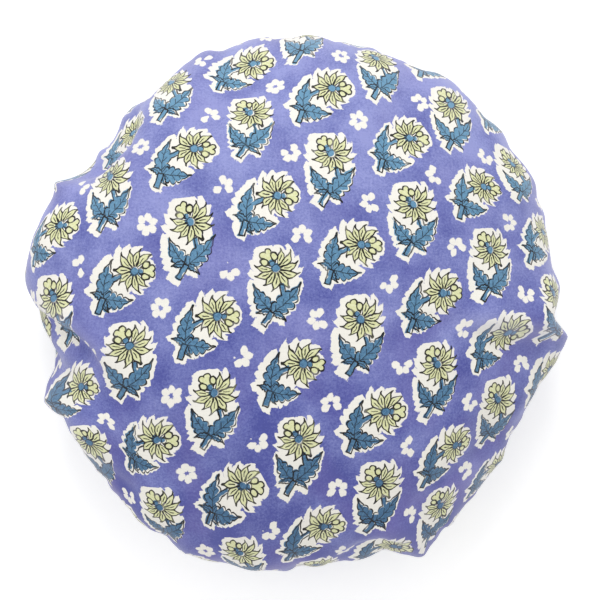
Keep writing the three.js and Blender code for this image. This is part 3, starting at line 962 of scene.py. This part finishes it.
def tapeOutline():
    # the folded tape's outline, anticlockwise with the radius to the right: up the outer leg's
    # face, over its edge, down inside, round the elastic's channel and back up the inner leg
    t, outer, inner, pinch = hem["tapeThickness"], hem["outerLeg"], hem["innerLeg"], hem["pinch"]
    top, seam, dent = cap["hemHeight"], hem["stitchHeight"], hem["stitchDent"]
    low, start, pinchTop = hem["fold"], hem["pinchStart"], hem["pinchStart"] + hem["pinchHeight"]
    bend = np.linspace(0, np.pi / 2, 5)
    outline = [(outer + t - low + low * np.sin(a), low - low * np.cos(a)) for a in bend]
    outline += [(outer + t, h) for h in (3.0, 5.2, 7.2, 8.8, 9.6)]
    outline += [(outer + t - dent, seam), (outer + t, 10.7), (outer + 0.4, top), (outer + 0.1, top)]
    outline += [(outer, 10.6), (outer, 6.0), (outer, t + 0.3), (outer - 0.3, t)]
    outline += [(inner + 0.3, t), (inner, t + 0.3), (inner, 4.0), (inner, start)]
    outline += [(inner + 2.4, start + 0.75), (pinch, pinchTop), (pinch, seam), (pinch - 0.05, top)]
    outline += [(pinch - 0.4, top), (pinch - t, 10.7), (pinch - t + dent, seam), (pinch - t, 9.6)]
    outline += [(pinch - t - 0.1, pinchTop + 0.4), (inner + 2.0, start + 1.35)]
    outline += [(inner - t, start + t), (inner - t, 5.4), (inner - t, 3.0)]
    outline += [(inner - t + low - low * np.cos(a), low - low * np.sin(a)) for a in bend]
    return np.array(outline)


hemAngles = fullTurn * np.arange(hem["columns"]) / hem["columns"]
hemTape = makePiece("hemTape", *sweepRing(hemAngles, carried(tapeOutline(), hemAngles)), tapeCloth, "tape")


def elasticShape():
    # a ribbed flat strip that runs round once and on over its own beginning, stepping outwards
    # for its lap, and shifted with the gathers as the tape is
    radius = hem["elasticRadius"]
    halfLap = hem["lap"] / 2 / radius
    turns = np.linspace(-halfLap, fullTurn + halfLap, 720)
    stepEnd = fullTurn - halfLap
    step = hem["lapStep"] * ease(stepEnd - hem["lapRun"] / radius, stepEnd, turns)
    up = np.linspace(0, 1, 13)
    edge = np.sqrt(np.clip(1 - (2 * up - 1) ** 10, 0.12, 1))
    half = hem["elasticThickness"] / 2 - 0.08 + hem["ribDepth"] * np.cos(up * fullTurn * hem["ribs"])
    height = hem["elasticBottom"] + hem["elasticWidth"] * up
    outerSide, innerSide = (np.stack([radius + side * half * edge, height], 1) for side in (1, -1))
    sections = carried(np.concatenate([outerSide, innerSide[::-1]]), turns)
    sections[..., 0] += step[:, None]
    return sweepRing(turns, sections, closed=False)


flatElastic = makePiece("flatElastic", *elasticShape(), elasticWeave, "elastic")


def threadTube(path, radius, sides=6):
    # a round thread along each path of a set (paths, points, 3), tapered shut at both ends
    paths, count = path.shape[:2]
    along = np.gradient(path, axis=1)
    along /= np.linalg.norm(along, axis=-1, keepdims=True)
    first = np.cross(along, (0.0, 0.0, 1.0))
    first /= np.maximum(np.linalg.norm(first, axis=-1, keepdims=True), 1e-9)
    second = np.cross(first, along)
    spin = fullTurn * np.arange(sides) / sides
    taper = np.ones(count)
    taper[[0, -1]] = 0.55
    ring = np.cos(spin)[:, None] * first[:, :, None] + np.sin(spin)[:, None] * second[:, :, None]
    points = path[:, :, None] + radius * taper[None, :, None, None] * ring
    ends = path[:, [0, -1]] + along[:, [0, -1]] * np.array([-0.4, 0.4])[None, :, None] * radius
    points = np.concatenate([points.reshape(paths, -1, 3), ends], 1).reshape(-1, 3)

    block = count * sides
    k, rings = np.arange(sides), sides * np.arange(count - 1)[:, None]
    after = (k + 1) % sides
    base = (np.arange(paths) * (block + 2))[:, None, None]
    here, side = base + rings + k, base + rings + after
    quads = np.stack([here, side, side + sides, here + sides], -1).reshape(-1, 4)
    base = base[:, 0]
    head = np.stack([base + block + 0 * k, base + after, base + k], -1).reshape(-1, 3)
    last = base + block - sides
    tail = np.stack([base + block + 1 + 0 * k, last + k, last + after], -1).reshape(-1, 3)
    return points, [quads, head, tail]


def seamStitches(faceRadius, outwards):
    # lockstitches round the hem: each lies along the tape and dips into it at both ends
    count = hem["stitches"]
    t = np.linspace(-0.5, 0.5, 7)
    angles = fullTurn * (np.arange(count)[:, None] + hem["stitchShare"] * t) / count
    arch = hem["stitchBulge"] * (1 - (2 * t) ** 4) - hem["stitchSink"]
    radius = faceRadius + outwards * arch + hemShift(angles)
    uneven = 0.05 * np.sin(3.1 * np.arange(count))[:, None]
    height = hem["stitchHeight"] + hemRise(angles) + uneven
    return threadTube(polar(radius, angles, height), hem["stitchRadius"])


outerFace, innerFace = hem["outerLeg"] + hem["tapeThickness"], hem["pinch"] - hem["tapeThickness"]
needleStitches = makePiece("needleStitches", *seamStitches(outerFace, 1), blueThread, "blue_thread")
bobbinStitches = makePiece("bobbinStitches", *seamStitches(innerFace, -1), blueThread, "blue_thread")


def joinShape():
    # the zigzag that sews the elastic's ends together, over its inner face
    legs, half = hem["zigzagLegs"], hem["lap"] * 0.4
    t = np.linspace(0, legs, legs * 8 + 1)
    sway = np.arccos(np.cos(np.pi * t)) / np.pi
    angle = (2 * t / legs - 1) * half / hem["elasticRadius"]
    height = hem["elasticBottom"] + hem["elasticWidth"] * (0.17 + 0.66 * sway) + hemRise(angle)
    above = 0.22 * (1 - np.abs(2 * sway - 1) ** 6)  # off the elastic's face, nought at each turn
    radius = hem["elasticRadius"] - hem["elasticThickness"] / 2 - above + hemShift(angle)
    return threadTube(polar(radius, angle, height)[None], hem["zigzagRadius"])


joinZigzag = makePiece("joinZigzag", *joinShape(), whiteThread, "white_thread")
print("hem made")

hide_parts("outer_panel")
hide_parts("waterproof_lining")
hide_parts("hem_binding")
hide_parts("elastic_band")
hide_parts("elastic_join_stitch")
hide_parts("hem_needle_thread")
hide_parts("hem_bobbin_thread")


studio = {
    "floorSize": 6.0, "floorGlow": 0.36,
    "worldLight": 0.76,
    "key": {"place": (-0.1, 1.55, 1.45), "size": 1.0, "power": 13.0},
    "fill": {"place": (-1.4, 0.3, 1.3), "size": 1.4, "power": 2.0},
    "lampAim": (0, 0, 0.05),
    "cameraHeight": 1.094, "lens": 105.9, "aim": (0.0024, 0.0030),
}

# a matt white floor, brightened for the camera and in reflections so that it reads as white paper
floorPaint, add, shader = newMaterial("mattWhiteFloor")
seen = most(add("LightPath", out="Is Camera Ray"), add("LightPath", out="Is Glossy Ray"))
setSockets(shader, BaseColor=hexToLinear("#F7F7F7"), Roughness=0.9, SpecularIORLevel=0.1,
           EmissionColor=(1, 1, 1, 1), EmissionStrength=seen * studio["floorGlow"])
half = studio["floorSize"] / 2
floorMesh = bpy.data.meshes.new("floor")
corners = [(-half, -half, 0), (half, -half, 0), (half, half, 0), (-half, half, 0)]
floorMesh.from_pydata(corners, [], [(0, 1, 2, 3)])
floorMesh.materials.append(floorPaint)
floor = placed("floor", floorMesh)

world = bpy.data.worlds.new("softStudio")
world.use_nodes = True
world.node_tree.nodes.clear()
add = nodeAdder(world.node_tree)
seen = most(add("LightPath", out="Is Camera Ray"), add("LightPath", out="Is Transmission Ray"))
add("OutputWorld", add("Background", (1, 1, 1, 1), fade(seen, 0.0, 1.0, studio["worldLight"], 1.0)))
bpy.context.scene.world = world

for name in ("key", "fill"):
    lamp = bpy.data.lights.new(name, "AREA")
    lamp.shape, lamp.size, lamp.energy = "DISK", studio[name]["size"], studio[name]["power"]
    holder = placed(name, lamp)
    holder.location = studio[name]["place"]
    toCap = type(holder.location)(studio["lampAim"]) - holder.location
    holder.rotation_euler = toCap.to_track_quat("-Z", "Y").to_euler()

camera = bpy.data.cameras.new("photoView")
camera.lens, camera.sensor_width = studio["lens"], 36
viewer = placed("photoView", camera)
viewer.location = (*studio["aim"], studio["cameraHeight"])
bpy.context.scene.camera = viewer
bpy.context.scene.view_settings.view_transform = "Standard"
print("stage, lights and camera set")
